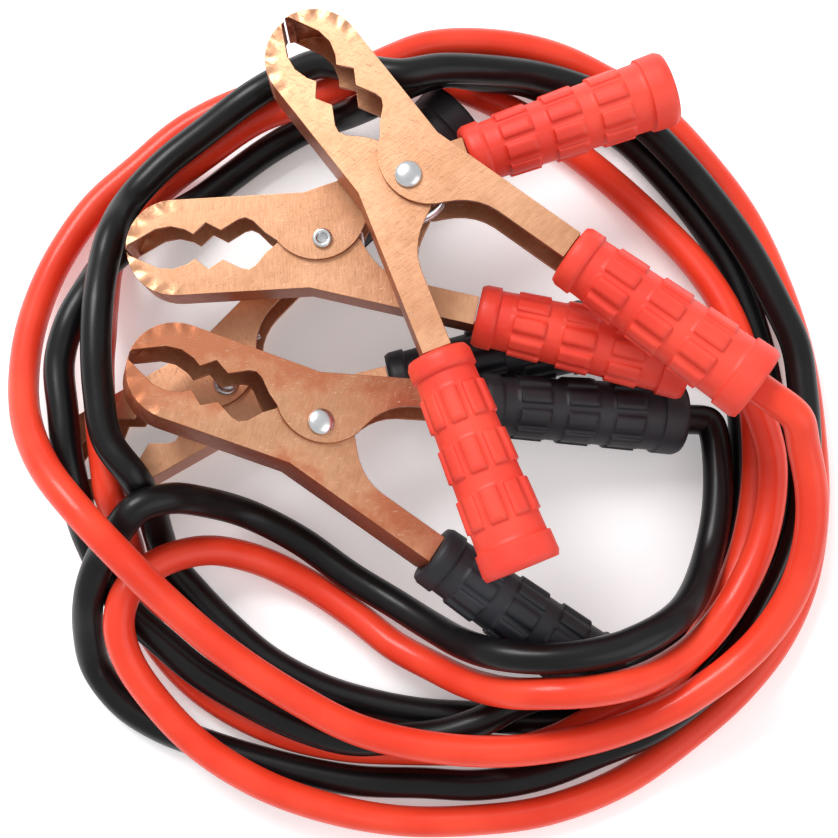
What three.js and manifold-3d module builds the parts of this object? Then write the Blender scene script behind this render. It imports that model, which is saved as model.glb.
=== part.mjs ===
// A set of car jumper cables: a red and a black cable, laid in loose round loops, each with a
// copper-plated spring clamp at both ends. Millimetres, +Z up, the floor at z = 0.
import * as THREE from 'three';
import { mergeVertices } from 'three/addons/utils/BufferGeometryUtils.js';
import Module from 'manifold-3d';

const wasm = await Module();
wasm.setup();

// Clamp: x runs from the rivet to the nose, y across the clamp, z along the rivet
const SHEET = 1.0;
const FIT_GAP = 0.3;
const CHANNEL_HEIGHT = 16.6;
const NOSE_RADIUS = 12;
const NOSE_REACH = 49.3;
const SHOULDER_X = 4;
const HANDLE_ANGLE = THREE.MathUtils.degToRad(16.2);
const LEVER_WIDTH = 7.2;
const LOBE_RADIUS = 12.6;
const LOBE_X = 1.1;
const LOBE_Y = 7.4;
const THROAT_LENGTH = 19;
const CUT_PAST = 6;

// The jaw's inner edge from the nose back to the rivet: [distance from the rivet, opening]
const JAW_EDGE = [
  [0.990, 1.2], [0.844, 4.8], [0.767, 5.3], [0.696, 4.3], [0.655, 3.0], [0.588, 5.8],
  [0.513, 3.6], [0.422, 6.1], [0.385, 6.5], [0.349, 5.6], [0.290, 2.4],
].map(([share, y]) => [NOSE_REACH * share, y]);

// Grip: a moulded sleeve, wider and a little taller towards its far end
const GRIP_START = 42.4;
const GRIP_LENGTH = 55;
const GRIP_WIDTH_NEAR = 16;
const GRIP_WIDTH_FAR = 19.6;
const GRIP_TALL_NEAR = 1.17;
const GRIP_TALL_FAR = 1.03;
const COLLAR_NEAR = 5;
const COLLAR_FAR = 6.5;
const COLLAR_STEP = 0.7;
const GRIP_EDGE = 1.2;
const TANG_LENGTH = 38;
const TANG_HEIGHT = 12;

// Rivet
const RIVET_RADIUS = 2.0;
const RIVET_DOME_RADIUS = 3.3;
const RIVET_DOME = 1.5;
const RIVET_RING_RADIUS = 2.5;
const RIVET_RING = 1.0;
const RIVET_BORE = 1.2;
const RIVET_BORE_DEPTH = 2.4;

// Torsion spring
const SPRING_RADIUS = 9.3;
const SPRING_WIRE = 0.95;
const SPRING_TURNS = 2;
const SPRING_PITCH = 2.3;
const SPRING_LEG = 13;
const SPRING_STEPS = 11;
const OPENING_LIMIT = THREE.MathUtils.degToRad(22);

// Cable
const CABLE_DIAMETER = 8.0;
const CABLE_SIDES = 8;
const CABLE_STEPS = 100;
const CABLE_DIVISIONS = 1200;

// Where each clamp lies: the rivet's middle, the nose's direction, and how far the nose and the
// outer half are raised. moves names the half that swings; the cable enters the other one's grip.
const CLAMPS = [
  { name: 'red_clamp_1', at: [-2.6, 50.5, 52], heading: 127.7, rise: 0, roll: 0, moves: 'inner', grip: 'red' },
  {
    name: 'red_clamp_2', at: [-24.2, 40.4, 32.2], heading: 183.4, rise: 0, roll: 3, moves: 'outer', grip: 'red',
    rivetDown: true,
  },
  { name: 'black_clamp_1', at: [-26, -7, 33.2], heading: 161.5, rise: 11.6, roll: -7.5, moves: 'inner', grip: 'black' },
  { name: 'black_clamp_2', at: [-50.4, 7, 10], heading: 210, rise: -0.4, roll: 0, moves: 'outer', grip: 'black' },
];

// The part's origin: the floor under the middle of the clamps' box
const ORIGIN = [-4.2, 7.7, 0.3];

// Points along each cable, chosen by hand: [x, y, height of the middle line]
const RED_ROUTE = [
  [71.5, 7.5, 52], [76, 4.5, 52], [81, 0.5, 52], [86.5, -3.5, 52], [91, -7, 51.5], [92.5, -12, 47],
  [96.5, -24.5, 41], [95.5, -41.5, 34], [89.5, -55, 28], [79, -66.5, 25], [63.5, -76.5, 23],
  [45.5, -83.5, 21.5], [25.5, -87, 22], [5.5, -86.5, 22], [-15, -82, 22.5], [-32.5, -73, 25],
  [-49.5, -61.5, 29], [-62.5, -50, 34.5], [-73, -39, 41], [-82, -29.5, 42], [-92.5, -17.5, 37],
  [-100, -4, 27.5], [-103, 11, 19], [-102.5, 26, 12.5], [-98, 42.5, 7], [-89, 58, 4.6], [-77.5, 69, 4.4],
  [-65, 80, 4.4], [-51, 87.5, 4.4], [-36, 92, 4.4], [-19, 94, 4.4], [-6.5, 95, 4.4], [6, 94, 4.4],
  [16.5, 90, 4.4], [26.5, 85, 4.4], [35, 79.5, 4.4], [50, 67.5, 5], [64.5, 53, 7], [76, 39, 9.5],
  [83.5, 24.5, 12], [87.5, 8.5, 12.9], [89, -7.5, 12.9], [88, -23, 12.5], [84.5, -37.5, 12.3],
  [78.5, -50.5, 12.7], [70.5, -62.5, 12.9], [59.5, -72.5, 13], [46.5, -79, 13.2], [36, -84.5, 12.6],
  [26, -87.5, 12.8], [18.5, -88, 4.8], [-2.5, -88, 4.4], [-20.5, -87, 4.4], [-37.5, -83, 4.4],
  [-53.5, -75, 4.4], [-65, -65, 4.4], [-73, -53, 4.4], [-75.5, -44, 4.4], [-76.5, -36, 7.7],
  [-77.5, -28.5, 19], [-79, -22.5, 24], [-80, -15.5, 25], [-81.5, -4, 25], [-82.5, 10.5, 24.5],
  [-82.5, 18.5, 22.7], [-84, 28, 13.5], [-84, 42, 6.5], [-80.5, 52, 4.4], [-70.5, 63, 5.5],
  [-58, 71.5, 9.5], [-44.5, 80, 12.5], [-30.5, 84.5, 15.8], [-20, 88.5, 18.5], [-9, 95, 17],
  [3, 100.5, 14.5], [19.5, 102, 12], [36, 99.5, 10.2], [51.5, 94, 5.5], [66, 84.5, 4.4], [78.5, 70.5, 4.4],
  [89.5, 54.5, 4.4], [97.5, 36, 4.4], [103, 16.5, 4.4], [105.5, -6.5, 4.4], [105.5, -25, 4.4],
  [102, -44, 4.4], [95, -59, 4.4], [84, -72.5, 4.4], [70.5, -84, 4.4], [53, -96, 4.4], [33, -103.5, 4.4],
  [13.5, -106, 4.4], [-5, -106, 5], [-23, -102.5, 9], [-40.5, -96, 12.5], [-56, -86.5, 13.5],
  [-66.5, -76, 15.5], [-74, -64.5, 19.5], [-76, -55, 22.5], [-73.5, -46.5, 23], [-66.5, -40, 20],
  [-55.5, -36.5, 14.5], [-43, -38.5, 8.5], [-30, -44.5, 5], [-17, -53, 6.5], [-6.5, -61, 9.5],
  [3, -66, 14], [13, -70.5, 22], [22.5, -72.5, 29.5], [32, -72.5, 34], [41.5, -72, 35], [50.5, -70.5, 34],
  [59.5, -67.5, 29.5], [70, -61, 24.5], [79.5, -50.5, 21.3], [87, -36.5, 20.8], [90.5, -21.5, 21.5],
  [89.5, -9, 24], [80.5, 7.5, 30], [74.5, 8.5, 30.2], [68, 10, 30.3], [62, 11.5, 30.4], [57.5, 12.5, 30.5],
];

const BLACK_ROUTE = [
  [56.5, -1, 13.3], [62.5, -1, 12], [68.5, -1.5, 10.6], [75, -1.5, 9.2], [78, -2, 8.9], [79, -15, 11],
  [78, -27, 13], [75, -38.5, 14.5], [68.5, -50.5, 25], [60, -57, 33], [49, -61.5, 35.5], [39, -63.5, 36.6],
  [29.5, -64, 36], [19, -63, 32.5], [11, -60.5, 24.5], [3, -56, 17], [-6.5, -50, 11.5], [-18, -43, 9],
  [-31.5, -33.5, 8.5], [-44.5, -27, 12], [-55, -24.5, 21.5], [-63, -24.5, 31], [-70, -27, 34],
  [-75, -32.5, 32], [-80, -38.5, 26], [-83.5, -47, 22.5], [-85.5, -56.5, 14], [-84.5, -67, 6],
  [-77.5, -76, 4.4], [-68, -82, 4.4], [-56, -86.5, 4.4], [-43, -90.5, 4.4], [-28.5, -94, 4.4],
  [-15.5, -96, 4.4], [0.5, -96.5, 4.4], [16, -97, 4.4], [31.5, -94.5, 4.4], [47, -88.5, 6],
  [60, -82.5, 9.7], [72.5, -73.5, 11.7], [83, -62.5, 12.9], [91, -50, 12.9], [97.5, -37, 12.9],
  [101, -22, 12.9], [102, -7.5, 12.9], [101.5, 6, 12.9], [100, 18, 12.9], [95, 30, 12.9], [88, 44, 12.9],
  [79, 57.5, 12.9], [69, 70, 12.9], [58.5, 80, 14], [46, 87, 15.5], [32.5, 90.5, 17.8], [19, 90, 24],
  [5.5, 88.5, 29.2], [-5, 86, 31.8], [-15, 88, 30], [-26, 91.5, 25], [-36, 89, 21], [-45, 83.5, 21.2],
  [-57, 75, 18.5], [-68, 66.5, 17], [-76.5, 56, 19], [-79.5, 45.5, 26.3], [-81, 37, 28.8],
  [-81.5, 26, 32.5], [-81.5, 14, 33.8], [-80.5, 2, 33.8], [-78, -10, 33.6], [-71.5, -19, 32.3],
  [-69, -26, 20], [-68, -32.5, 12.5], [-66.5, -38.5, 7], [-59.5, -47, 4.4], [-50.5, -56, 4.4],
  [-39.5, -65, 4.4], [-26, -72, 4.4], [-13, -76, 4.4], [0.5, -78.5, 4.4], [16, -79.5, 4.4],
  [31.5, -80.5, 4.4], [45, -79.5, 4.4], [58, -74.5, 4.4], [71.5, -66, 4.4], [83.5, -53.5, 4.4],
  [92, -39.5, 4.4], [95, -25, 4.4], [96, -11.5, 4.4], [95, 2, 4.4], [93, 15.5, 4.4], [89.5, 29, 4.4],
  [84.5, 42, 4.4], [76.5, 55, 4.4], [67.5, 66.5, 4.4], [57.5, 77, 4.4], [44.5, 86, 4.4], [30.5, 92, 8],
  [17, 91.5, 14.5], [6.5, 90.5, 20.4], [-3, 86.5, 23.2], [-11, 83, 20], [-19, 82.5, 11], [-30, 80.5, 5.5],
  [-41, 74.5, 4.6], [-50.5, 67.5, 4.4], [-60, 59, 7], [-69.5, 51.5, 12], [-77.5, 44.5, 15.5],
  [-83, 38.5, 17.8], [-86, 30.5, 24], [-90, 21.5, 26], [-92.5, 11, 25.5], [-91, -1.5, 26.5],
  [-89.5, -13, 26.5], [-87.5, -24, 22.8], [-86.5, -31.5, 16], [-83.5, -39, 13.4], [-80, -46, 14.4],
  [-75, -52.5, 13.2], [-67, -59.5, 13], [-56.5, -68, 12.7], [-43.5, -75.5, 12.7], [-30.5, -81.5, 12.9],
  [-17.5, -85, 13], [-5, -84.5, 13], [5.5, -83.5, 13], [15.5, -80.5, 13], [24.5, -76, 13],
  [33.5, -73, 11.4], [42, -71.5, 5.5], [51, -68.5, 4.4], [60.5, -63.5, 4.4], [70.5, -55, 4.4],
  [78, -44, 4.4], [83, -33, 4.4], [86, -21, 4.4], [87, -7.5, 4.4], [86.5, 3, 4.4], [82, 11.5, 4.8],
  [76, 17, 8], [58.5, 24.5, 10.6], [52.5, 23, 10.6], [46, 21.5, 10.6], [40, 20, 10.6], [35, 18.5, 10.6],
];

const INNER_HEIGHT = CHANNEL_HEIGHT - 2 * (SHEET + FIT_GAP);
const NOSE_CENTRE = NOSE_REACH - NOSE_RADIUS;
const HANDLE = new THREE.Vector2(-Math.cos(HANDLE_ANGLE), Math.sin(HANDLE_ANGLE));
const HANDLE_IN = new THREE.Vector2(-HANDLE.y, HANDLE.x);
const SHOULDER = new THREE.Vector2(SHOULDER_X, NOSE_RADIUS);
const LEVER_LENGTH = GRIP_START + TANG_LENGTH;

// A point beside the handle: so far along it, so far in from the lever's outer edge
function handlePoint(along, inward) {
  return SHOULDER.clone().addScaledVector(HANDLE, along).addScaledVector(HANDLE_IN, inward);
}

function arcPoints(x, y, radius, from, to, count) {
  const points = [];
  for (let i = 0; i <= count; i++) {
    const a = from + ((to - from) * i) / count;
    points.push(new THREE.Vector2(x + radius * Math.cos(a), y + radius * Math.sin(a)));
  }
  return points;
}

function toManifold(geometry) {
  const bare = geometry.clone();
  bare.deleteAttribute('normal');
  bare.deleteAttribute('uv');
  const merged = mergeVertices(bare, 1e-4);
  return new wasm.Manifold(new wasm.Mesh({
    numProp: 3,
    vertProperties: new Float32Array(merged.attributes.position.array),
    triVerts: new Uint32Array(merged.index.array),
  }));
}

function toGeometry(solid) {
  const mesh = solid.getMesh();
  const geometry = new THREE.BufferGeometry();
  geometry.setAttribute('position', new THREE.BufferAttribute(mesh.vertProperties, 3));
  geometry.setIndex(new THREE.BufferAttribute(mesh.triVerts, 1));
  geometry.computeVertexNormals();
  return geometry;
}

// A flat outline made into a slab that is centred on the clamp's middle plane
function slab(points, height) {
  const shape = new THREE.Shape(points);
  const geometry = new THREE.ExtrudeGeometry(shape, { depth: height, bevelEnabled: false });
  geometry.translate(0, 0, -height / 2);
  return toManifold(geometry);
}

// The outer edge of a stamped half, moved inward by a distance, from the nose to the lever's end
function outerEdge(inward, length) {
  const nose = arcPoints(NOSE_CENTRE, 0, NOSE_RADIUS - inward, 0, Math.PI / 2, 9);
  const mitre = inward * Math.tan(HANDLE_ANGLE / 2);
  const shoulder = new THREE.Vector2(SHOULDER_X - mitre, NOSE_RADIUS - inward);
  return [...nose, shoulder, handlePoint(length, inward)];
}

// One stamped half. side is 1 for the half on +y and -1 for the half on -y.
function jawSolid(side, height) {
  const along = Math.sqrt(LOBE_RADIUS ** 2 - (LOBE_Y - FIT_GAP) ** 2);
  const outer = outerEdge(0, LEVER_LENGTH);
  outer[0].y = FIT_GAP / 2;
  const throat = handlePoint(THROAT_LENGTH + SHOULDER_X, LEVER_WIDTH);
  const lobeStart = Math.atan2(-LOBE_Y * 0.62, -Math.sqrt(LOBE_RADIUS ** 2 - (LOBE_Y * 0.62) ** 2));
  const lobe = arcPoints(LOBE_X, LOBE_Y, LOBE_RADIUS, lobeStart, -Math.acos(along / LOBE_RADIUS), 12);
  const bend = new THREE.QuadraticBezierCurve(
    throat, new THREE.Vector2(lobe[0].x - 3.2, throat.y - 2), lobe[0]);
  const jaw = JAW_EDGE.map(([x, y]) => new THREE.Vector2(x, y)).reverse();
  const outline = [
    ...outer, handlePoint(LEVER_LENGTH, LEVER_WIDTH), ...bend.getPoints(5).slice(0, -1), ...lobe, ...jaw,
  ];

  const wall = outerEdge(SHEET, LEVER_LENGTH + CUT_PAST);
  const pocket = [
    ...wall, handlePoint(LEVER_LENGTH + CUT_PAST, LEVER_WIDTH + CUT_PAST),
    new THREE.Vector2(-LOBE_RADIUS, -LOBE_RADIUS - CUT_PAST),
    new THREE.Vector2(NOSE_REACH - SHEET, -LOBE_RADIUS - CUT_PAST),
  ];

  let solid = slab(outline, height).subtract(slab(pocket, height - 2 * SHEET));
  const hole = new THREE.CylinderGeometry(RIVET_RADIUS + FIT_GAP, RIVET_RADIUS + FIT_GAP, height + CUT_PAST, 12);
  solid = solid.subtract(toManifold(hole.rotateX(Math.PI / 2)));

  // Inside the grip the lever is a lower tang
  for (const up of [-1, 1]) {
    const block = new THREE.BoxGeometry(TANG_LENGTH + CUT_PAST, 2 * LEVER_WIDTH, height);
    block.translate(-(TANG_LENGTH + CUT_PAST) / 2, 0, up * (TANG_HEIGHT + height) / 2);
    block.rotateZ(-HANDLE_ANGLE);
    const start = handlePoint(GRIP_START - FIT_GAP, LEVER_WIDTH / 2);
    block.translate(start.x, start.y, 0);
    solid = solid.subtract(toManifold(block));
  }
  const geometry = toGeometry(solid);
  return side > 0 ? geometry : mirrored(geometry);
}

// The same shape on the other side of the clamp's axis
function mirrored(geometry) {
  geometry.rotateX(Math.PI);
  return geometry;
}

function gripSolid(side) {
  const stations = [
    [0, GRIP_WIDTH_NEAR / 2 - GRIP_EDGE / 2], [GRIP_EDGE, GRIP_WIDTH_NEAR / 2],
    [COLLAR_NEAR, GRIP_WIDTH_NEAR / 2], [COLLAR_NEAR, GRIP_WIDTH_NEAR / 2 - COLLAR_STEP],
    [GRIP_LENGTH - COLLAR_FAR, GRIP_WIDTH_FAR / 2 - COLLAR_STEP],
    [GRIP_LENGTH - COLLAR_FAR, GRIP_WIDTH_FAR / 2],
    [GRIP_LENGTH - GRIP_EDGE, GRIP_WIDTH_FAR / 2], [GRIP_LENGTH, GRIP_WIDTH_FAR / 2 - GRIP_EDGE / 2],
  ];
  const profile = [
    new THREE.Vector2(0, 0), ...stations.map(([s, r]) => new THREE.Vector2(r, s)), new THREE.Vector2(0, GRIP_LENGTH),
  ];
  const sleeve = new THREE.LatheGeometry(profile, 20);
  const position = sleeve.attributes.position;
  for (let i = 0; i < position.count; i++) {
    const tall = THREE.MathUtils.lerp(GRIP_TALL_NEAR, GRIP_TALL_FAR, position.getY(i) / GRIP_LENGTH);
    position.setZ(i, position.getZ(i) * tall);
  }
  const pocketDepth = TANG_LENGTH + FIT_GAP;
  const pocket = new THREE.BoxGeometry(LEVER_WIDTH + 2 * FIT_GAP, pocketDepth + CUT_PAST, TANG_HEIGHT + 2 * FIT_GAP);
  pocket.translate(0, (pocketDepth - CUT_PAST) / 2, 0);
  const boreRadius = CABLE_DIAMETER / 2 + FIT_GAP;
  const boreDepth = GRIP_LENGTH - pocketDepth;
  const bore = new THREE.CylinderGeometry(boreRadius, boreRadius, boreDepth + CUT_PAST + FIT_GAP, 12);
  bore.translate(0, pocketDepth - FIT_GAP + (boreDepth + CUT_PAST + FIT_GAP) / 2, 0);

  const geometry = toGeometry(toManifold(sleeve).subtract(toManifold(pocket)).subtract(toManifold(bore)));
  geometry.rotateZ(Math.PI / 2 - HANDLE_ANGLE);
  const start = handlePoint(GRIP_START, LEVER_WIDTH / 2);
  geometry.translate(start.x, start.y, 0);
  return side > 0 ? geometry : mirrored(geometry);
}

function rivetSolid() {
  const top = CHANNEL_HEIGHT / 2 + FIT_GAP;
  const ring = top + RIVET_RING;
  const profile = [
    new THREE.Vector2(0, -ring + RIVET_BORE_DEPTH), new THREE.Vector2(RIVET_BORE, -ring + RIVET_BORE_DEPTH),
    new THREE.Vector2(RIVET_BORE, -ring), new THREE.Vector2(RIVET_RING_RADIUS, -ring),
    new THREE.Vector2(RIVET_RING_RADIUS, -top), new THREE.Vector2(RIVET_RADIUS, -top),
    new THREE.Vector2(RIVET_RADIUS, top), new THREE.Vector2(RIVET_DOME_RADIUS, top),
    new THREE.Vector2(RIVET_DOME_RADIUS * 0.85, top + RIVET_DOME * 0.6),
    new THREE.Vector2(RIVET_DOME_RADIUS * 0.5, top + RIVET_DOME * 0.92),
    new THREE.Vector2(0, top + RIVET_DOME),
  ];
  const geometry = new THREE.LatheGeometry(profile, 12);
  geometry.rotateX(Math.PI / 2);
  return geometry;
}

// The spring's wire: a leg by one lever, the turns round the rivet and a leg by the other lever
function springSolid(moves) {
  const points = [];
  const first = Math.PI / 2 - HANDLE_ANGLE;
  const sweep = (2 * SPRING_TURNS + 1) * Math.PI - 2 * HANDLE_ANGLE + OPENING_LIMIT;
  const rise = (SPRING_PITCH * sweep) / (2 * Math.PI);
  const count = Math.round((SPRING_STEPS * sweep) / (2 * Math.PI));
  const onTurn = (a, z, leg) => new THREE.Vector3(
    SPRING_RADIUS * Math.cos(a) - leg * Math.sin(a), SPRING_RADIUS * Math.sin(a) + leg * Math.cos(a), z);
  points.push(onTurn(first, -rise / 2, SPRING_LEG), onTurn(first, -rise / 2, SPRING_LEG / 2));
  for (let i = 0; i <= count; i++) {
    points.push(onTurn(first - (sweep * i) / count, -rise / 2 + (rise * i) / count, 0));
  }
  points.push(onTurn(first - sweep, rise / 2, -SPRING_LEG / 2), onTurn(first - sweep, rise / 2, -SPRING_LEG));
  const wire = new THREE.CatmullRomCurve3(points, false, 'centripetal');
  const section = new THREE.Shape(arcPoints(0, 0, SPRING_WIRE, 0, (5 / 3) * Math.PI, 5));
  const geometry = new THREE.ExtrudeGeometry(section, { steps: points.length + 4, extrudePath: wire, bevelEnabled: false });
  return moves === 'outer' ? geometry : mirrored(geometry);
}

const COPPER = { color: 0xc98a5c, roughness: 0.35, metalness: 0.9 };
const STEEL = { color: 0xc8ccd0, roughness: 0.25, metalness: 1.0 };
const PLASTIC = {
  red: { color: 0xe0281e, roughness: 0.5, metalness: 0 },
  black: { color: 0x1d1e21, roughness: 0.5, metalness: 0 },
};

function namedMesh(name, geometry, look) {
  const mesh = new THREE.Mesh(geometry, new THREE.MeshStandardMaterial(look));
  mesh.name = name;
  return mesh;
}

function clamp({ name, at, heading, rise, roll, moves, grip, rivetDown }) {
  const group = new THREE.Group();
  const rivet = namedMesh(`${name}_rivet`, rivetSolid(), STEEL);
  if (rivetDown) rivet.rotation.x = Math.PI;
  group.add(
    namedMesh(`${name}_outer_jaw`, jawSolid(-1, CHANNEL_HEIGHT), COPPER),
    namedMesh(`${name}_inner_jaw`, jawSolid(1, INNER_HEIGHT), COPPER),
    namedMesh(`${name}_outer_grip`, gripSolid(-1), PLASTIC[grip]),
    namedMesh(`${name}_inner_grip`, gripSolid(1), PLASTIC[grip]),
    namedMesh(`${name}_spring`, springSolid(moves), STEEL),
    rivet,
  );
  group.position.set(...at);
  group.rotation.order = 'ZYX';
  group.rotation.z = THREE.MathUtils.degToRad(heading);
  group.rotation.y = -THREE.MathUtils.degToRad(rise);
  group.rotation.x = -THREE.MathUtils.degToRad(roll);
  return group;
}

function cable(name, route, grip) {
  const line = new THREE.CatmullRomCurve3(route.map((point) => new THREE.Vector3(...point)), false, 'centripetal');
  line.arcLengthDivisions = CABLE_DIVISIONS;
  const lastSide = 2 * Math.PI * (1 - 1 / CABLE_SIDES);
  const section = new THREE.Shape(arcPoints(0, 0, CABLE_DIAMETER / 2, 0, lastSide, CABLE_SIDES - 1));
  const options = { steps: CABLE_STEPS, extrudePath: line, bevelEnabled: false };
  return namedMesh(name, new THREE.ExtrudeGeometry(section, options), PLASTIC[grip]);
}

const jumperCables = new THREE.Group();
jumperCables.add(
  ...CLAMPS.map(clamp),
  cable('red_cable', RED_ROUTE, 'red'),
  cable('black_cable', BLACK_ROUTE, 'black'),
);
jumperCables.position.set(...ORIGIN).negate();

export default jumperCables;
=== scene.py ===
"""Looks for the car jumper cables: two coiled cables and four spring clamps on a pale floor."""
import math

import bmesh
import bpy
from mathutils import Matrix, Vector


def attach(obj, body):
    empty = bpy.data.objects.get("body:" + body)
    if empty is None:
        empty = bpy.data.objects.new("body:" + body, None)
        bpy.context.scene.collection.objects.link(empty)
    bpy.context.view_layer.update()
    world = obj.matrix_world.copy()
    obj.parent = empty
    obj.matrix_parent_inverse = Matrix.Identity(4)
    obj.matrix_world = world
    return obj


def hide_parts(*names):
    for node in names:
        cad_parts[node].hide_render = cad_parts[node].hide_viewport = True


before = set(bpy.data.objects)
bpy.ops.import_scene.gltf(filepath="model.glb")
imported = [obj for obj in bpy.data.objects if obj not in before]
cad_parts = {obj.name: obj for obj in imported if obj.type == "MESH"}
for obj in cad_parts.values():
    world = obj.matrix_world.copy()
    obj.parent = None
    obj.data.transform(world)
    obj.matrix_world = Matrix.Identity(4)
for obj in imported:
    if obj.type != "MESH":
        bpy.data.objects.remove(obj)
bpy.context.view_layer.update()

MM = 0.001
# Where the frame's origin lies, in millimetres, in the axes that the clamps' places are given in
ORIGIN = Vector((-4.2, 7.7, 0.3))

# Camera, as read off the photograph
CAMERA_DISTANCE = 0.430
CAMERA_ELEVATION = math.radians(82)
SENSOR_WIDTH = 36
FOCAL_PIXELS = 1580
PHOTO_PIXELS = 838

# Light, and how bright the floor looks behind the pieces
WINDOW = ("soft_window", (-0.45, 0.65, 0.95), 0.5, 11.0)
FILL = ("soft_fill", (0.9, -0.5, 0.9), 1.0, 3.5)
SKY_STRENGTH = 0.7
FLOOR_GLOW = 0.28
FLOOR_DROP = 0.0003
FLOOR_SIZE = 4

# Cables, in metres
CABLE_RADIUS = 0.0040
STEPS_BETWEEN = 7
# The bend just outside the first grip is eased over this many samples
EASING_PASSES = 16
EASED_SAMPLES = 70
# Points along each cable
RED_ROUTE = [
    (0.0757, -0.0002, 0.0517), (0.0802, -0.0032, 0.0517), (0.0852, -0.0072, 0.0517),
    (0.0907, -0.0112, 0.0517), (0.0952, -0.0147, 0.0512), (0.0967, -0.0197, 0.0467),
    (0.1007, -0.0322, 0.0407), (0.0997, -0.0492, 0.0337), (0.0937, -0.0627, 0.0277),
    (0.0832, -0.0742, 0.0247), (0.0677, -0.0842, 0.0227), (0.0497, -0.0912, 0.0212),
    (0.0297, -0.0947, 0.0217), (0.0097, -0.0942, 0.0217), (-0.0108, -0.0897, 0.0222),
    (-0.0283, -0.0807, 0.0247), (-0.0453, -0.0692, 0.0287), (-0.0583, -0.0577, 0.0342),
    (-0.0688, -0.0467, 0.0407), (-0.0778, -0.0372, 0.0417), (-0.0883, -0.0252, 0.0367),
    (-0.0958, -0.0117, 0.0272), (-0.0988, 0.0033, 0.0187), (-0.0983, 0.0183, 0.0122),
    (-0.0938, 0.0348, 0.0067), (-0.0848, 0.0503, 0.0043), (-0.0733, 0.0613, 0.0041),
    (-0.0608, 0.0723, 0.0041), (-0.0468, 0.0798, 0.0041), (-0.0318, 0.0843, 0.0041),
    (-0.0148, 0.0863, 0.0041), (-0.0023, 0.0873, 0.0041), (0.0102, 0.0863, 0.0041),
    (0.0207, 0.0823, 0.0041), (0.0307, 0.0773, 0.0041), (0.0392, 0.0718, 0.0041),
    (0.0542, 0.0598, 0.0047), (0.0687, 0.0453, 0.0067), (0.0802, 0.0313, 0.0092),
    (0.0877, 0.0168, 0.0117), (0.0917, 0.0008, 0.0126), (0.0932, -0.0152, 0.0126),
    (0.0922, -0.0307, 0.0122), (0.0887, -0.0452, 0.0120), (0.0827, -0.0582, 0.0124),
    (0.0747, -0.0702, 0.0126), (0.0637, -0.0802, 0.0127), (0.0507, -0.0867, 0.0129),
    (0.0402, -0.0922, 0.0123), (0.0302, -0.0952, 0.0125), (0.0227, -0.0957, 0.0045),
    (0.0017, -0.0957, 0.0041), (-0.0163, -0.0947, 0.0041), (-0.0333, -0.0907, 0.0041),
    (-0.0493, -0.0827, 0.0041), (-0.0608, -0.0727, 0.0041), (-0.0688, -0.0607, 0.0041),
    (-0.0713, -0.0517, 0.0041), (-0.0723, -0.0437, 0.0074), (-0.0733, -0.0362, 0.0187),
    (-0.0748, -0.0302, 0.0237), (-0.0758, -0.0232, 0.0247), (-0.0773, -0.0117, 0.0247),
    (-0.0783, 0.0028, 0.0242), (-0.0783, 0.0108, 0.0224), (-0.0798, 0.0203, 0.0132),
    (-0.0798, 0.0343, 0.0062), (-0.0763, 0.0443, 0.0041), (-0.0663, 0.0553, 0.0052),
    (-0.0538, 0.0638, 0.0092), (-0.0403, 0.0723, 0.0122), (-0.0263, 0.0768, 0.0155),
    (-0.0158, 0.0808, 0.0182), (-0.0048, 0.0873, 0.0167), (0.0072, 0.0928, 0.0142),
    (0.0237, 0.0943, 0.0117), (0.0402, 0.0918, 0.0099), (0.0557, 0.0863, 0.0052),
    (0.0702, 0.0768, 0.0041), (0.0827, 0.0628, 0.0041), (0.0937, 0.0468, 0.0041),
    (0.1017, 0.0283, 0.0041), (0.1072, 0.0088, 0.0041), (0.1097, -0.0142, 0.0041),
    (0.1097, -0.0327, 0.0041), (0.1062, -0.0517, 0.0041), (0.0992, -0.0667, 0.0041),
    (0.0882, -0.0802, 0.0041), (0.0747, -0.0917, 0.0041), (0.0572, -0.1037, 0.0041),
    (0.0372, -0.1112, 0.0041), (0.0177, -0.1137, 0.0041), (-0.0008, -0.1137, 0.0047),
    (-0.0188, -0.1102, 0.0087), (-0.0363, -0.1037, 0.0122), (-0.0518, -0.0942, 0.0132),
    (-0.0623, -0.0837, 0.0152), (-0.0698, -0.0722, 0.0192), (-0.0718, -0.0627, 0.0222),
    (-0.0693, -0.0542, 0.0227), (-0.0623, -0.0477, 0.0197), (-0.0513, -0.0442, 0.0142),
    (-0.0388, -0.0462, 0.0082), (-0.0258, -0.0522, 0.0047), (-0.0128, -0.0607, 0.0062),
    (-0.0023, -0.0687, 0.0092), (0.0072, -0.0737, 0.0137), (0.0172, -0.0782, 0.0217),
    (0.0267, -0.0802, 0.0292), (0.0362, -0.0802, 0.0337), (0.0457, -0.0797, 0.0347),
    (0.0547, -0.0782, 0.0337), (0.0637, -0.0752, 0.0292), (0.0742, -0.0687, 0.0242),
    (0.0837, -0.0582, 0.0210), (0.0912, -0.0442, 0.0205), (0.0947, -0.0292, 0.0212),
    (0.0937, -0.0167, 0.0237), (0.0847, -0.0002, 0.0297), (0.0787, 0.0008, 0.0299),
    (0.0722, 0.0023, 0.0300), (0.0662, 0.0038, 0.0301), (0.0617, 0.0048, 0.0302),
]
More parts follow.
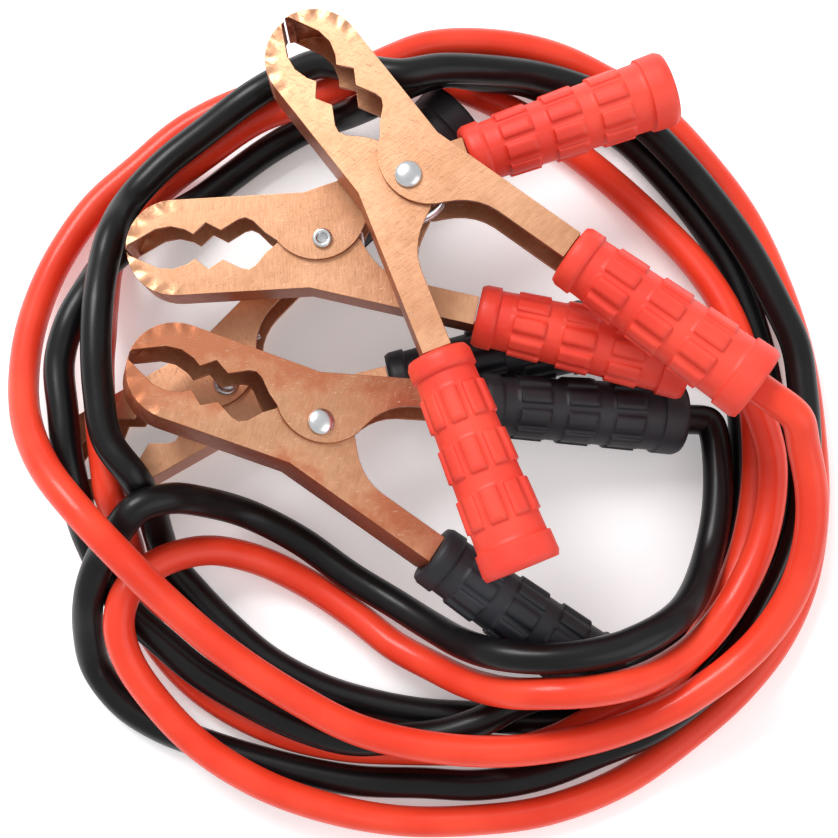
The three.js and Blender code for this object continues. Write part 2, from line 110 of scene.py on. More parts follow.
BLACK_ROUTE = [
    (0.0607, -0.0087, 0.0130), (0.0667, -0.0087, 0.0117), (0.0727, -0.0092, 0.0103),
    (0.0792, -0.0092, 0.0089), (0.0822, -0.0097, 0.0086), (0.0832, -0.0227, 0.0107),
    (0.0822, -0.0347, 0.0127), (0.0792, -0.0462, 0.0142), (0.0727, -0.0582, 0.0247),
    (0.0642, -0.0647, 0.0327), (0.0532, -0.0692, 0.0352), (0.0432, -0.0712, 0.0363),
    (0.0337, -0.0717, 0.0357), (0.0232, -0.0707, 0.0322), (0.0152, -0.0682, 0.0242),
    (0.0072, -0.0637, 0.0167), (-0.0023, -0.0577, 0.0112), (-0.0138, -0.0507, 0.0087),
    (-0.0273, -0.0412, 0.0082), (-0.0403, -0.0347, 0.0117), (-0.0508, -0.0322, 0.0212),
    (-0.0588, -0.0322, 0.0307), (-0.0658, -0.0347, 0.0337), (-0.0708, -0.0402, 0.0317),
    (-0.0758, -0.0462, 0.0257), (-0.0793, -0.0547, 0.0222), (-0.0813, -0.0642, 0.0137),
    (-0.0803, -0.0747, 0.0057), (-0.0733, -0.0837, 0.0041), (-0.0638, -0.0897, 0.0041),
    (-0.0518, -0.0942, 0.0041), (-0.0388, -0.0982, 0.0041), (-0.0243, -0.1017, 0.0041),
    (-0.0113, -0.1037, 0.0041), (0.0047, -0.1042, 0.0041), (0.0202, -0.1047, 0.0041),
    (0.0357, -0.1022, 0.0041), (0.0512, -0.0962, 0.0057), (0.0642, -0.0902, 0.0094),
    (0.0767, -0.0812, 0.0114), (0.0872, -0.0702, 0.0126), (0.0952, -0.0577, 0.0126),
    (0.1017, -0.0447, 0.0126), (0.1052, -0.0297, 0.0126), (0.1062, -0.0152, 0.0126),
    (0.1057, -0.0017, 0.0126), (0.1042, 0.0103, 0.0126), (0.0992, 0.0223, 0.0126),
    (0.0922, 0.0363, 0.0126), (0.0832, 0.0498, 0.0126), (0.0732, 0.0623, 0.0126),
    (0.0627, 0.0723, 0.0137), (0.0502, 0.0793, 0.0152), (0.0367, 0.0828, 0.0175),
    (0.0232, 0.0823, 0.0237), (0.0097, 0.0808, 0.0289), (-0.0008, 0.0783, 0.0315),
    (-0.0108, 0.0803, 0.0297), (-0.0218, 0.0838, 0.0247), (-0.0318, 0.0813, 0.0207),
    (-0.0408, 0.0758, 0.0209), (-0.0528, 0.0673, 0.0182), (-0.0638, 0.0588, 0.0167),
    (-0.0723, 0.0483, 0.0187), (-0.0753, 0.0378, 0.0260), (-0.0768, 0.0293, 0.0285),
    (-0.0773, 0.0183, 0.0322), (-0.0773, 0.0063, 0.0335), (-0.0763, -0.0057, 0.0335),
    (-0.0738, -0.0177, 0.0333), (-0.0673, -0.0267, 0.0320), (-0.0648, -0.0337, 0.0197),
    (-0.0638, -0.0402, 0.0122), (-0.0623, -0.0462, 0.0067), (-0.0553, -0.0547, 0.0041),
    (-0.0463, -0.0637, 0.0041), (-0.0353, -0.0727, 0.0041), (-0.0218, -0.0797, 0.0041),
    (-0.0088, -0.0837, 0.0041), (0.0047, -0.0862, 0.0041), (0.0202, -0.0872, 0.0041),
    (0.0357, -0.0882, 0.0041), (0.0492, -0.0872, 0.0041), (0.0622, -0.0822, 0.0041),
    (0.0757, -0.0737, 0.0041), (0.0877, -0.0612, 0.0041), (0.0962, -0.0472, 0.0041),
    (0.0992, -0.0327, 0.0041), (0.1002, -0.0192, 0.0041), (0.0992, -0.0057, 0.0041),
    (0.0972, 0.0078, 0.0041), (0.0937, 0.0213, 0.0041), (0.0887, 0.0343, 0.0041),
    (0.0807, 0.0473, 0.0041), (0.0717, 0.0588, 0.0041), (0.0617, 0.0693, 0.0041),
    (0.0487, 0.0783, 0.0041), (0.0347, 0.0843, 0.0077), (0.0212, 0.0838, 0.0142),
    (0.0107, 0.0828, 0.0201), (0.0012, 0.0788, 0.0229), (-0.0068, 0.0753, 0.0197),
    (-0.0148, 0.0748, 0.0107), (-0.0258, 0.0728, 0.0052), (-0.0368, 0.0668, 0.0043),
    (-0.0463, 0.0598, 0.0041), (-0.0558, 0.0513, 0.0067), (-0.0653, 0.0438, 0.0117),
    (-0.0733, 0.0368, 0.0152), (-0.0788, 0.0308, 0.0175), (-0.0818, 0.0228, 0.0237),
    (-0.0858, 0.0138, 0.0257), (-0.0883, 0.0033, 0.0252), (-0.0868, -0.0092, 0.0262),
    (-0.0853, -0.0207, 0.0262), (-0.0833, -0.0317, 0.0225), (-0.0823, -0.0392, 0.0157),
    (-0.0793, -0.0467, 0.0131), (-0.0758, -0.0537, 0.0141), (-0.0708, -0.0602, 0.0129),
    (-0.0628, -0.0672, 0.0127), (-0.0523, -0.0757, 0.0124), (-0.0393, -0.0832, 0.0124),
    (-0.0263, -0.0892, 0.0126), (-0.0133, -0.0927, 0.0127), (-0.0008, -0.0922, 0.0127),
    (0.0097, -0.0912, 0.0127), (0.0197, -0.0882, 0.0127), (0.0287, -0.0837, 0.0127),
    (0.0377, -0.0807, 0.0111), (0.0462, -0.0792, 0.0052), (0.0552, -0.0762, 0.0041),
    (0.0647, -0.0712, 0.0041), (0.0747, -0.0627, 0.0041), (0.0822, -0.0517, 0.0041),
    (0.0872, -0.0407, 0.0041), (0.0902, -0.0287, 0.0041), (0.0912, -0.0152, 0.0041),
    (0.0907, -0.0047, 0.0041), (0.0862, 0.0038, 0.0045), (0.0802, 0.0093, 0.0077),
    (0.0627, 0.0168, 0.0103), (0.0567, 0.0153, 0.0103), (0.0502, 0.0138, 0.0103),
    (0.0442, 0.0123, 0.0103), (0.0392, 0.0108, 0.0103),
]
# Clamps: place, heading, rise, roll, the half that swings, grip colour, copper wear,
# and whether the rivet's hollow end is up
CLAMPS = [
    ("red_clamp_1", (-2.6, 50.5, 52), 127.7, 0, 0, "inner", "red", "clean", False),
    ("red_clamp_2", (-24.2, 40.4, 32.2), 183.4, 0, 3, "outer", "red", "clean", True),
    ("black_clamp_1", (-26, -7, 33.2), 161.5, 11.6, -7.5, "inner", "black", "worn", False),
    ("black_clamp_2", (-50.4, 7, 10), 210, -0.4, 0, "outer", "black", "clean", False),
]
FIXED_BODY = "cables_and_fixed_halves"
HANDLE_ANGLE = math.radians(16.2)
HANDLE = Vector((-math.cos(HANDLE_ANGLE), math.sin(HANDLE_ANGLE)))
HANDLE_IN = Vector((-HANDLE.y, HANDLE.x))
NOSE_RADIUS = 12
NOSE_REACH = 49.3
SHOULDER_X = 4
LEVER_WIDTH = 7.2
OPENING_LIMIT = math.radians(22)
NOSE_CENTRE = (NOSE_REACH - NOSE_RADIUS) * MM
CRIMP_FREQUENCY = 15.0
CRIMP_SCATTER = 7.0
BENT_EDGE = 0.00022

# Metal colours
COPPER_DULL = (0.60, 0.285, 0.150, 1)
COPPER_BRIGHT = (0.82, 0.455, 0.270, 1)
COPPER_STAIN = (0.50, 0.175, 0.085, 1)
# Painted shade: the darker copper put on upright walls, which face away from the light
COPPER_PAINTED_WALL_SHADE = (0.42, 0.125, 0.052, 1)
COPPER_SCRATCH = (0.95, 0.72, 0.55, 1)
ZINC_DULL = (0.62, 0.64, 0.66, 1)
ZINC_BRIGHT = (0.82, 0.83, 0.84, 1)

# Grip sleeve and its raised blocks, in millimetres along it
GRIP_START = 42.4
GRIP_LENGTH = 55
# Half width and half height at each end
GRIP_NEAR = (8.0, 9.36)
GRIP_FAR = (9.8, 10.1)
COLLAR_STEP = 0.7
COLLAR_NEAR = 5
COLLAR_FAR = 6.5
BLOCK_STARTS = (9.6, 22.3, 35.0)
BLOCK_LENGTH = 8.0
BLOCK_ROWS = 9
BLOCK_FILL = 0.66
BLOCK_RAISE = 0.68
BLOCK_RAMP = 0.2
# Places at which an edge gets a ring of points, as shares of the ramp from it
RAMP_SHARES = (-1, -0.55, 0, 0.2)
STATION_STEP = 1.4
ROW_ANGLE = 2 * math.pi / BLOCK_ROWS
HALF_BLOCK = ROW_ANGLE * BLOCK_FILL / 2
SIDE_RAMP = BLOCK_RAMP / 9
END_ROUND = 0.6
END_LENGTH = 1.1
TANG_HOLE = (3.95, 6.35)
TANG_DEPTH = 38.3
SLOT_CORNER = 6
CABLE_HOLE = 4.25

# Rivet and spring
RIVET_TOP = 8.6
RIVET_RADIUS = 2.0
HEAD_RADIUS = 3.3
HEAD_STEP = 0.25
HEAD_DOME = 1.25
ROLL_CENTRE = 1.85
ROLL_RADIUS = 0.65
ROLL_TALL = 0.5
HOLLOW_RADIUS = 1.2
HOLLOW_DEPTH = 1.4
SPRING_RADIUS = 9.3
SPRING_WIRE = 0.95
SPRING_TURNS = 2
SPRING_PITCH = 2.3
SPRING_LEG = 13
LEG_STEPS = 4
COIL_STEPS = 90
WIRE_SIDES = 12
LATHE_SIDES = 48


class Field:
    """A value that varies over a surface. Arithmetic on it adds Math nodes."""

    def __init__(self, tree, socket):
        self.tree = tree
        self.socket = socket

    def node(self, kind, settings, *terms, output=0, **named):
        """One node of any kind: its settings first, then the values or links of its sockets."""
        made = self.tree.nodes.new(kind)
        for key, value in settings.items():
            setattr(made, key, value)
        for key, value in [*enumerate(terms), *named.items()]:
            if value is None:
                continue
            target = made.inputs[key]
            if isinstance(value, Field):
                self.tree.links.new(value.socket, target)
            else:
                target.default_value = value
        return Field(self.tree, made.outputs[output])

    def math(self, operation, *terms):
        return self.node("ShaderNodeMath", {"operation": operation}, self, *terms)

    def __add__(self, other):
        return self.math("ADD", other)

    def __radd__(self, other):
        return self.node("ShaderNodeMath", {"operation": "ADD"}, other, self)

    def __sub__(self, other):
        return self.math("SUBTRACT", other)

    def __rsub__(self, other):
        return self.node("ShaderNodeMath", {"operation": "SUBTRACT"}, other, self)

    def __mul__(self, other):
        return self.math("MULTIPLY", other)

    def __rmul__(self, other):
        return self.node("ShaderNodeMath", {"operation": "MULTIPLY"}, other, self)

    def __pow__(self, other):
        return self.math("POWER", other)

    def __rpow__(self, other):
        return self.node("ShaderNodeMath", {"operation": "POWER"}, other, self)

    def ramp(self, low, high):
        """0 below low, 1 above high, smooth between them."""
        settings = {"interpolation_type": "SMOOTHSTEP"}
        return self.node("ShaderNodeMapRange", settings, self, low, high, 0.0, 1.0)

    def blend(self, first, second):
        """From the first colour at 0 to the second at 1, through a Mix node's colour sockets."""
        unused = [None] * 5
        return self.node("ShaderNodeMix", {"data_type": "RGBA"}, self, *unused, first, second, output=2)

    def split(self):
        """The three parts of a vector."""
        return [self.node("ShaderNodeSeparateXYZ", {}, self, output=axis) for axis in range(3)]


def new_finish(name):
    material = bpy.data.materials.new(name)
    material.use_nodes = True
    tree = material.node_tree
    place = tree.nodes.new("ShaderNodeTexCoord")
    return material, tree.nodes["Principled BSDF"], Field(tree, place.outputs["Object"])


def noise(position, scale, detail=3.0, roughness=0.5):
    named = {"Vector": position, "Scale": scale, "Detail": detail, "Roughness": roughness}
    return position.node("ShaderNodeTexNoise", {}, **named)


def stretched(position, across, along, up):
    """The position with each axis scaled, for marks that run one way."""
    return position.node("ShaderNodeVectorMath", {"operation": "MULTIPLY"}, position, (across, along, up))


def facing_up(material):
    """How far the surface faces along the rivet: 1 on a cheek, 0 on an upright wall."""
    tree = material.node_tree
    place = tree.nodes.new("ShaderNodeTexCoord")
    return Field(tree, place.outputs["Normal"]).split()[2].math("ABSOLUTE")


def connect(field, shader, socket):
    field.tree.links.new(field.socket, shader.inputs[socket])


def raise_bumps(height, shader, distance, strength):
    bump = height.node("ShaderNodeBump", {}, Strength=strength, Distance=distance, Height=height)
    connect(bump, shader, "Normal")


def nose_crimps(position):
    """Creases that fan out round the nose, on its rim alone."""
    x, y, _ = position.split()
    beyond = x - NOSE_CENTRE
    reach = (beyond * beyond + y * y) ** 0.5
    angle = y.math("ARCTAN2", beyond)
    fan = (angle * CRIMP_FREQUENCY + noise(position, 150.0) * CRIMP_SCATTER).math("SINE")
    rim = reach.ramp(0.0085, 0.0118) * x.ramp(NOSE_CENTRE - 0.004, NOSE_CENTRE + 0.002)
    return fan * rim


def copper_plate(name, wear):
    """Copper-plated pressed steel: brushed across the levers, mottled, scratched, crimped round the nose,
    with painted shade on its upright walls.
    """
    material, shader, position = new_finish(name)
    x, y, z = position.split()
    skewed = position.node("ShaderNodeCombineXYZ", {}, x + y * 0.6, y - x * 0.6, z)
    brushing = noise(stretched(position, 3400, 260, 260), 1.0, 2.0)
    mottle = noise(position, 75.0, 6.0, 0.6)
    stain = noise(position, 34.0, 5.0, 0.62).ramp(0.44, 0.6) * wear
    scratches = noise(stretched(skewed, 420, 5200, 900), 1.0, 1.0).ramp(0.66, 0.72)
    face = (mottle * 0.75 + brushing * 0.35).ramp(0.3, 0.8).blend(COPPER_DULL, COPPER_BRIGHT)
    stained = stain.blend(face, COPPER_STAIN)
    # Painted shade: surfaces that face sideways, the upright walls and flanges, are blended to a darker
    # copper
    upright = 1.0 - facing_up(material).ramp(0.35, 0.8)
    with_painted_wall_shade = upright.blend(stained, COPPER_PAINTED_WALL_SHADE)
    marked = (scratches * (0.15 + 0.25 * wear)).blend(with_painted_wall_shade, COPPER_SCRATCH)
    connect(marked, shader, "Base Color")
    shader.inputs["Metallic"].default_value = 0.92
    connect(0.30 + brushing * 0.16 + stain * 0.2, shader, "Roughness")
    height = brushing * 0.12 + mottle * 0.35 - scratches * 0.2 + nose_crimps(position) * 1.1
    raise_bumps(height, shader, 0.00022, 0.8)
    return material


def zinc_plate():
    material, shader, position = new_finish("zinc_plate")
    cloud = noise(position, 300.0, 4.0)
    connect(cloud.blend(ZINC_DULL, ZINC_BRIGHT), shader, "Base Color")
    shader.inputs["Metallic"].default_value = 1.0
    connect(0.16 + cloud * 0.18, shader, "Roughness")
    raise_bumps(cloud, shader, 0.00008, 0.5)
    return material


def moulded_grip(name, base, rubbed, roughness, sheen):
    """Moulded sleeve: fine matt grain, lighter in patches where hands have rubbed it."""
    material, shader, position = new_finish(name)
    grain = noise(position, 2600.0, 2.0)
    patches = noise(position, 55.0, 5.0)
    connect(patches.ramp(0.35, 0.75).blend(base, rubbed), shader, "Base Color")
    connect(roughness + grain * 0.12, shader, "Roughness")
    shader.inputs["Coat Weight"].default_value = sheen
    shader.inputs["Coat Roughness"].default_value = 0.45
    raise_bumps(grain + patches * 0.8, shader, 0.00006, 0.6)
    return material


def cable_sheath(name, base, shade, roughness, coat):
    """Extruded sheath: smooth, with faint waviness and dust."""
    material, shader, position = new_finish(name)
    wave = noise(position, 60.0, 3.0)
    dust = noise(position, 900.0, 2.0)
    connect(wave.ramp(0.3, 0.7).blend(base, shade), shader, "Base Color")
    connect(roughness + dust * 0.12, shader, "Roughness")
    shader.inputs["Coat Weight"].default_value = coat
    shader.inputs["Coat Roughness"].default_value = 0.12
    shader.inputs["Specular IOR Level"].default_value = 0.25
    raise_bumps(wave, shader, 0.0003, 0.5)
    return material


COPPER = {
    "clean": copper_plate("copper_plate_clean", 0.15),
    "worn": copper_plate("copper_plate_worn", 0.9),
}
ZINC = zinc_plate()
GRIP = {
    "red": moulded_grip("red_moulded_grip", (0.80, 0.040, 0.020, 1), (0.90, 0.070, 0.036, 1), 0.46, 0.1),
    "black": moulded_grip(
        "black_moulded_grip", (0.008, 0.009, 0.013, 1), (0.017, 0.019, 0.026, 1), 0.52, 0.06),
}
SHEATH = {
    "red": cable_sheath("red_cable_sheath", (0.80, 0.042, 0.016, 1), (0.88, 0.062, 0.026, 1), 0.34, 0.2),
    "black": cable_sheath(
        "black_cable_sheath", (0.003, 0.003, 0.0035, 1), (0.006, 0.006, 0.007, 1), 0.28, 0.06),
}


def route_line(points):
    """A smooth line through the points: the same centripetal curve as the solid cable's."""
    points = [Vector(p) for p in points]
    points = [2 * points[0] - points[1], *points, 2 * points[-1] - points[-2]]
    line = []
    for i in range(1, len(points) - 2):
        a, b, c, d = points[i - 1:i + 3]
        before, here, after = (max((q - p).length ** 0.5, 1e-6) for p, q in ((a, b), (b, c), (c, d)))
        first = ((b - a) / before - (c - a) / (before + here) + (c - b) / here) * here
        second = ((c - b) / here - (d - b) / (here + after) + (d - c) / after) * here
        for k in range(STEPS_BETWEEN):
            t = k / STEPS_BETWEEN
            bend = -3 * b + 3 * c - 2 * first - second
            twist = 2 * b - 2 * c + first + second
            place = b + first * t + bend * t * t + twist * t ** 3
            place.z = max(place.z, CABLE_RADIUS)
            line.append(place)
    line.append(points[-2])
    for _ in range(EASING_PASSES):
        near = line[:EASED_SAMPLES]
        line[1:EASED_SAMPLES - 1] = [(a + 2 * b + c) / 4 for a, b, c in zip(near, near[1:], near[2:])]
    return line


def cable(colour, route):
    line = route_line(route)
    name = colour + "_cable"
    curve = bpy.data.curves.new(name + "_sheath", "CURVE")
    curve.dimensions = "3D"
    curve.bevel_depth = CABLE_RADIUS
    curve.bevel_resolution = 5
    curve.use_fill_caps = True
    spline = curve.splines.new("POLY")
    spline.points.add(len(line) - 1)
    for point, place in zip(spline.points, line):
        point.co = (*place, 1)
    spline.use_smooth = True
    curve.materials.append(SHEATH[colour])
    sheath = bpy.data.objects.new(name + "_sheath", curve)
    bpy.context.collection.objects.link(sheath)
    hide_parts(name)
    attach(sheath, FIXED_BODY)


def make_piece(name, mesh, matrix, finish, node, body):
    """One visible piece in a clamp's own axes, standing for a solid and riding on its body."""
    mesh.materials.clear()
    mesh.materials.append(finish)
    piece = bpy.data.objects.new(name, mesh)
    bpy.context.collection.objects.link(piece)
    piece.matrix_world = matrix
    bpy.context.view_layer.update()
    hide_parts(node)
    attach(piece, body)
    return piece


def finished_mesh(name, shape, sharp_angle=None):
    bmesh.ops.recalc_face_normals(shape, faces=shape.faces)
    mesh = bpy.data.meshes.new(name)
    shape.to_mesh(mesh)
    shape.free()
    for polygon in mesh.polygons:
        polygon.use_smooth = True
    if sharp_angle is not None:
        mesh.set_sharp_from_angle(angle=sharp_angle)
    return mesh


def sweep_mesh(name, rings, joined_ends):
    """A skin over closed rings of points. Its last ring is joined to the first, or both are capped."""
    shape = bmesh.new()
    rows = [[shape.verts.new(point) for point in ring] for ring in rings]
    following = rows[1:] + rows[:1] if joined_ends else rows[1:]
    for low, high in zip(rows, following):
        for k in range(len(low)):
            n = (k + 1) % len(low)
            shape.faces.new((low[k], low[n], high[n], high[k]))
    if not joined_ends:
        shape.faces.new(list(reversed(rows[0])))
        shape.faces.new(rows[-1])
    return finished_mesh(name, shape)


def lathe_mesh(name, profile):
    """A profile of (radius, height) in millimetres turned round the rivet's axis."""
    shape = bmesh.new()
    rows = []
    for k in range(LATHE_SIDES):
        turn = 2 * math.pi * k / LATHE_SIDES
        points = [Vector((r * math.cos(turn), r * math.sin(turn), h)) * MM for r, h in profile]
        rows.append([shape.verts.new(point) for point in points])
    for low, high in zip(rows, rows[1:] + rows[:1]):
        for corners in zip(low, low[1:], high[1:], high):
            shape.faces.new(corners)
    bmesh.ops.remove_doubles(shape, verts=shape.verts, dist=1e-7)
    return finished_mesh(name, shape, math.radians(38))


def smooth_step(value, low, high):
    t = min(1.0, max(0.0, (value - low) / (high - low)))
    return t * t * (3 - 2 * t)


def inside(value, start, end):
    """1 between start and end, with a short ramp outside them."""
    return smooth_step(value, start - BLOCK_RAMP, start) * (1 - smooth_step(value, end, end + BLOCK_RAMP))


def grip_stations():
    """Distances along the sleeve: close together at each step in it, and apart elsewhere."""
    edges = [COLLAR_NEAR + BLOCK_RAMP, GRIP_LENGTH - COLLAR_FAR]
    for start in BLOCK_STARTS:
        edges += [start, start + BLOCK_LENGTH + BLOCK_RAMP]
    marks = {0.0, GRIP_LENGTH}
    for edge in edges:
        marks.update(edge + BLOCK_RAMP * share for share in RAMP_SHARES)
    marks = sorted(marks)
    distances = []
    for low, high in zip(marks, marks[1:]):
        count = max(1, math.ceil((high - low) / STATION_STEP))
        distances += [low + (high - low) * k / count for k in range(count)]
    return distances + [GRIP_LENGTH]


def grip_turns():
    """Angles round the sleeve, close together at the sides of each row of blocks."""
    turns = []
    for k in range(BLOCK_ROWS):
        middle = (k + 0.5) * ROW_ANGLE
        rising = (-ROW_ANGLE / 2, -HALF_BLOCK - SIDE_RAMP, -HALF_BLOCK - SIDE_RAMP * 0.5, -HALF_BLOCK)
        falling = (HALF_BLOCK, HALF_BLOCK + SIDE_RAMP * 0.5, HALF_BLOCK + SIDE_RAMP)
        offsets = (*rising, -HALF_BLOCK * 0.4, HALF_BLOCK * 0.4, *falling)
        turns += [middle + offset for offset in offsets]
    return turns


def sleeve_outside(distance, turn):
    """The sleeve's outer skin: oval, wider to its far end, a collar at each end, blocks between."""
    share = distance / GRIP_LENGTH
    wide = GRIP_NEAR[0] + (GRIP_FAR[0] - GRIP_NEAR[0]) * share
    tall = GRIP_NEAR[1] + (GRIP_FAR[1] - GRIP_NEAR[1]) * share
    near_collar = inside(distance, -COLLAR_NEAR, COLLAR_NEAR)
    far_collar = inside(distance, GRIP_LENGTH - COLLAR_FAR, GRIP_LENGTH + COLLAR_FAR)
    beside = abs((turn % ROW_ANGLE) - ROW_ANGLE / 2)
    across = 1 - smooth_step(beside, HALF_BLOCK, HALF_BLOCK + SIDE_RAMP)
    block = sum(inside(distance, start, start + BLOCK_LENGTH) for start in BLOCK_STARTS) * across
    near_round = 1 - smooth_step(distance, 0, END_LENGTH)
    far_round = smooth_step(distance, GRIP_LENGTH - END_LENGTH, GRIP_LENGTH)
    drop = COLLAR_STEP * (1 - near_collar - far_collar) - BLOCK_RAISE * block
    drop += END_ROUND * (near_round + far_round)
    return (wide - drop) * math.cos(turn), (tall - drop) * math.sin(turn)


def sleeve_bore(distance, turn):
    """The hole down the sleeve: a rounded slot for the lever, then a round hole for the cable."""
    reach = CABLE_HOLE
    if distance < TANG_DEPTH:
        across = abs(math.cos(turn) / TANG_HOLE[0])
        upright = abs(math.sin(turn) / TANG_HOLE[1])
        reach = (across ** SLOT_CORNER + upright ** SLOT_CORNER) ** (-1 / SLOT_CORNER)
    return reach * math.cos(turn), reach * math.sin(turn)


def grip_mesh(name, side):
    turns = grip_turns()
    rings = []

    def add_ring(distance, skin):
        centre = Vector((SHOULDER_X, NOSE_RADIUS)) + HANDLE * (GRIP_START + distance)
        points = []
        for turn in turns:
            across, up = skin(distance, turn)
            flat = centre + HANDLE_IN * (LEVER_WIDTH / 2 + across)
            points.append(Vector((flat.x, flat.y * side, up)) * MM)
        rings.append(points)

    for distance in grip_stations():
        add_ring(distance, sleeve_outside)
    for distance in (GRIP_LENGTH, TANG_DEPTH + 0.01, TANG_DEPTH - 0.3, 0.0):
        add_ring(distance, sleeve_bore)
    return sweep_mesh(name, rings, joined_ends=True)


def rivet_mesh(name):
    """A semi-tubular rivet: a domed head at the top, a rolled ring with a hollow at the bottom."""
    dome = []
    for k in range(10):
        turn = math.pi / 2 * k / 9
        dome.append((HEAD_RADIUS * math.cos(turn), RIVET_TOP + HEAD_STEP + HEAD_DOME * math.sin(turn)))
    roll = []
    for k in range(9):
        turn = -math.pi * k / 8
        height = -RIVET_TOP + ROLL_TALL * (math.sin(turn) - 1)
        roll.append((ROLL_CENTRE + ROLL_RADIUS * math.cos(turn), height))
    floor_height = -RIVET_TOP + HOLLOW_DEPTH
    hollow = [(0, floor_height), (HOLLOW_RADIUS, floor_height)]
    shank = [(RIVET_RADIUS, -RIVET_TOP), (RIVET_RADIUS, RIVET_TOP), (HEAD_RADIUS, RIVET_TOP)]
    return lathe_mesh(name, hollow + roll[::-1] + shank + dome)


def spring_line(moves):
    """The wire's centre line: a straight leg, the coil round the rivet and the other leg."""
    first = math.pi / 2 - HANDLE_ANGLE
    sweep = (2 * SPRING_TURNS + 1) * math.pi - 2 * HANDLE_ANGLE + OPENING_LIMIT
    rise = SPRING_PITCH * sweep / (2 * math.pi)
    side = 1 if moves == "outer" else -1

    def on_turn(turn, up, leg):
        x = SPRING_RADIUS * math.cos(turn) - leg * math.sin(turn)
        y = SPRING_RADIUS * math.sin(turn) + leg * math.cos(turn)
        return Vector((x, side * y, side * up)) * MM

    line = [on_turn(first, -rise / 2, SPRING_LEG * (1 - k / LEG_STEPS)) for k in range(LEG_STEPS)]
    for k in range(COIL_STEPS + 1):
        share = k / COIL_STEPS
        line.append(on_turn(first - sweep * share, rise * (share - 0.5), 0))
    for k in range(LEG_STEPS):
        line.append(on_turn(first - sweep, rise / 2, -SPRING_LEG * (k + 1) / LEG_STEPS))
    return line


def spring_mesh(name, moves):
    line = spring_line(moves)
    angles = [2 * math.pi * k / WIRE_SIDES for k in range(WIRE_SIDES)]
    rings = []
    normal = Vector((0, 0, 1))
    for k, point in enumerate(line):
        ahead = (line[min(k + 1, len(line) - 1)] - line[max(k - 1, 0)]).normalized()
        normal = (normal - ahead * normal.dot(ahead)).normalized()
        aside = ahead.cross(normal)
        rings.append([
            point + (normal * math.cos(a) + aside * math.sin(a)) * SPRING_WIRE * MM for a in angles])
    return sweep_mesh(name, rings, joined_ends=False)


def jaw_mesh(name, node, matrix):
    """The pressed half, from its solid, in the clamp's own axes."""
    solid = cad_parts[node]
    mesh = solid.data.copy()
    mesh.name = name
    mesh.transform(matrix.inverted() @ solid.matrix_world)
    shape = bmesh.new()
    shape.from_mesh(mesh)
    bmesh.ops.remove_doubles(shape, verts=shape.verts, dist=2e-6)
    bmesh.ops.dissolve_limit(shape, angle_limit=math.radians(0.6), verts=shape.verts, edges=shape.edges)
    shape.to_mesh(mesh)
    shape.free()
    for polygon in mesh.polygons:
        polygon.use_smooth = True
    mesh.set_sharp_from_angle(angle=math.radians(32))
    return mesh


def round_bent_edges(jaw):
    bevel = jaw.modifiers.new("bent_edges", "BEVEL")
    bevel.width = BENT_EDGE
    bevel.segments = 2
    bevel.limit_method = "ANGLE"
    bevel.angle_limit = math.radians(40)
    bevel.harden_normals = True


def clamp_place(at, heading, rise, roll):
    turned = Matrix.Rotation(math.radians(heading), 4, "Z") @ Matrix.Rotation(-math.radians(rise), 4, "Y")
    turned = turned @ Matrix.Rotation(-math.radians(roll), 4, "X")
    return Matrix.Translation((Vector(at) - ORIGIN) * MM) @ turned


def clamp(name, matrix, moves, colour, wear, hollow_up):
    """Two pressed halves and their sleeves, on the fixed or the moving body, with a rivet and a spring."""
    for half, side in (("outer", -1), ("inner", 1)):
        body = name + "_moving_half" if half == moves else FIXED_BODY
        node = f"{name}_{half}_jaw"
        mesh = jaw_mesh(node + "_plate", node, matrix)
        jaw = make_piece(node + "_plate", mesh, matrix, COPPER[wear], node, body)
        round_bent_edges(jaw)
        node = f"{name}_{half}_grip"
        mesh = grip_mesh(node + "_sleeve", side)
        make_piece(node + "_sleeve", mesh, matrix, GRIP[colour], node, body)
    upright = matrix @ Matrix.Rotation(math.pi, 4, "X") if hollow_up else matrix
    mesh = rivet_mesh(name + "_rivet_shank")
    make_piece(mesh.name, mesh, upright, ZINC, name + "_rivet", FIXED_BODY)
    mesh = spring_mesh(name + "_spring_wire", moves)
    make_piece(mesh.name, mesh, matrix, ZINC, name + "_spring", FIXED_BODY)


for name, at, heading, rise, roll, moves, colour, wear, hollow_up in CLAMPS:
    clamp(name, clamp_place(at, heading, rise, roll), moves, colour, wear, hollow_up)

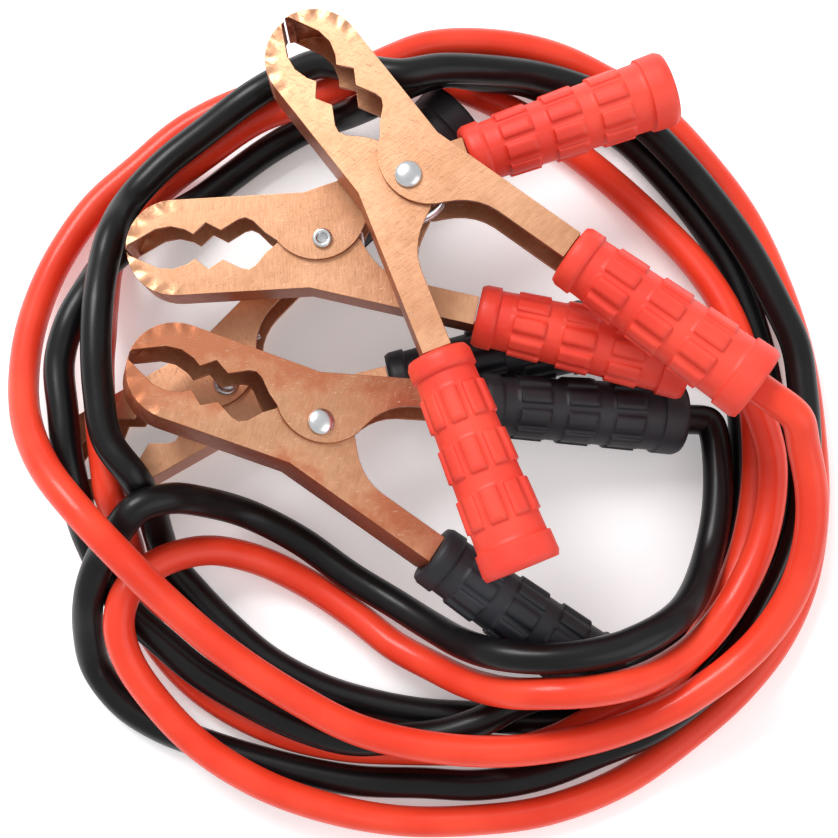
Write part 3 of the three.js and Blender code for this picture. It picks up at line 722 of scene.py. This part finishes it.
cable("red", RED_ROUTE)
cable("black", BLACK_ROUTE)


def pale_floor():
    finish = bpy.data.materials.new("pale_floor")
    finish.use_nodes = True
    shader = finish.node_tree.nodes["Principled BSDF"]
    shader.inputs["Base Color"].default_value = (0.9, 0.9, 0.91, 1)
    shader.inputs["Roughness"].default_value = 0.7
    shader.inputs["Emission Color"].default_value = (1, 1, 1, 1)
    shader.inputs["Emission Strength"].default_value = FLOOR_GLOW
    bpy.ops.mesh.primitive_plane_add(size=FLOOR_SIZE, location=(0, 0, -FLOOR_DROP))
    floor = bpy.context.object
    floor.name = "pale_floor"
    floor.data.materials.append(finish)
    return floor


def soft_lamp(name, place, size, power):
    lamp = bpy.data.lights.new(name, "AREA")
    lamp.size = size
    lamp.energy = power
    lamp_object = bpy.data.objects.new(name, lamp)
    bpy.context.collection.objects.link(lamp_object)
    lamp_object.location = place
    lamp_object.rotation_euler = (-Vector(place)).to_track_quat("-Z", "Y").to_euler()
    return lamp_object


def white_sky():
    world = bpy.context.scene.world or bpy.data.worlds.new("studio")
    bpy.context.scene.world = world
    world.use_nodes = True
    world.node_tree.nodes["Background"].inputs["Color"].default_value = (1, 1, 1, 1)
    world.node_tree.nodes["Background"].inputs["Strength"].default_value = SKY_STRENGTH


def photo_camera():
    view = bpy.data.cameras.new("photo_view")
    view.lens = SENSOR_WIDTH * FOCAL_PIXELS / PHOTO_PIXELS
    view.sensor_width = SENSOR_WIDTH
    view.clip_start = 0.02
    camera = bpy.data.objects.new("photo_view", view)
    bpy.context.collection.objects.link(camera)
    back = CAMERA_DISTANCE * math.cos(CAMERA_ELEVATION)
    up = CAMERA_DISTANCE * math.sin(CAMERA_ELEVATION)
    camera.location = Vector((0, -back, up)) - ORIGIN * MM
    camera.rotation_euler = (math.pi / 2 - CAMERA_ELEVATION, 0, 0)
    bpy.context.scene.camera = camera


pale_floor()
soft_lamp(*WINDOW)
soft_lamp(*FILL)
white_sky()
bpy.context.scene.view_settings.view_transform = "Standard"
photo_camera()
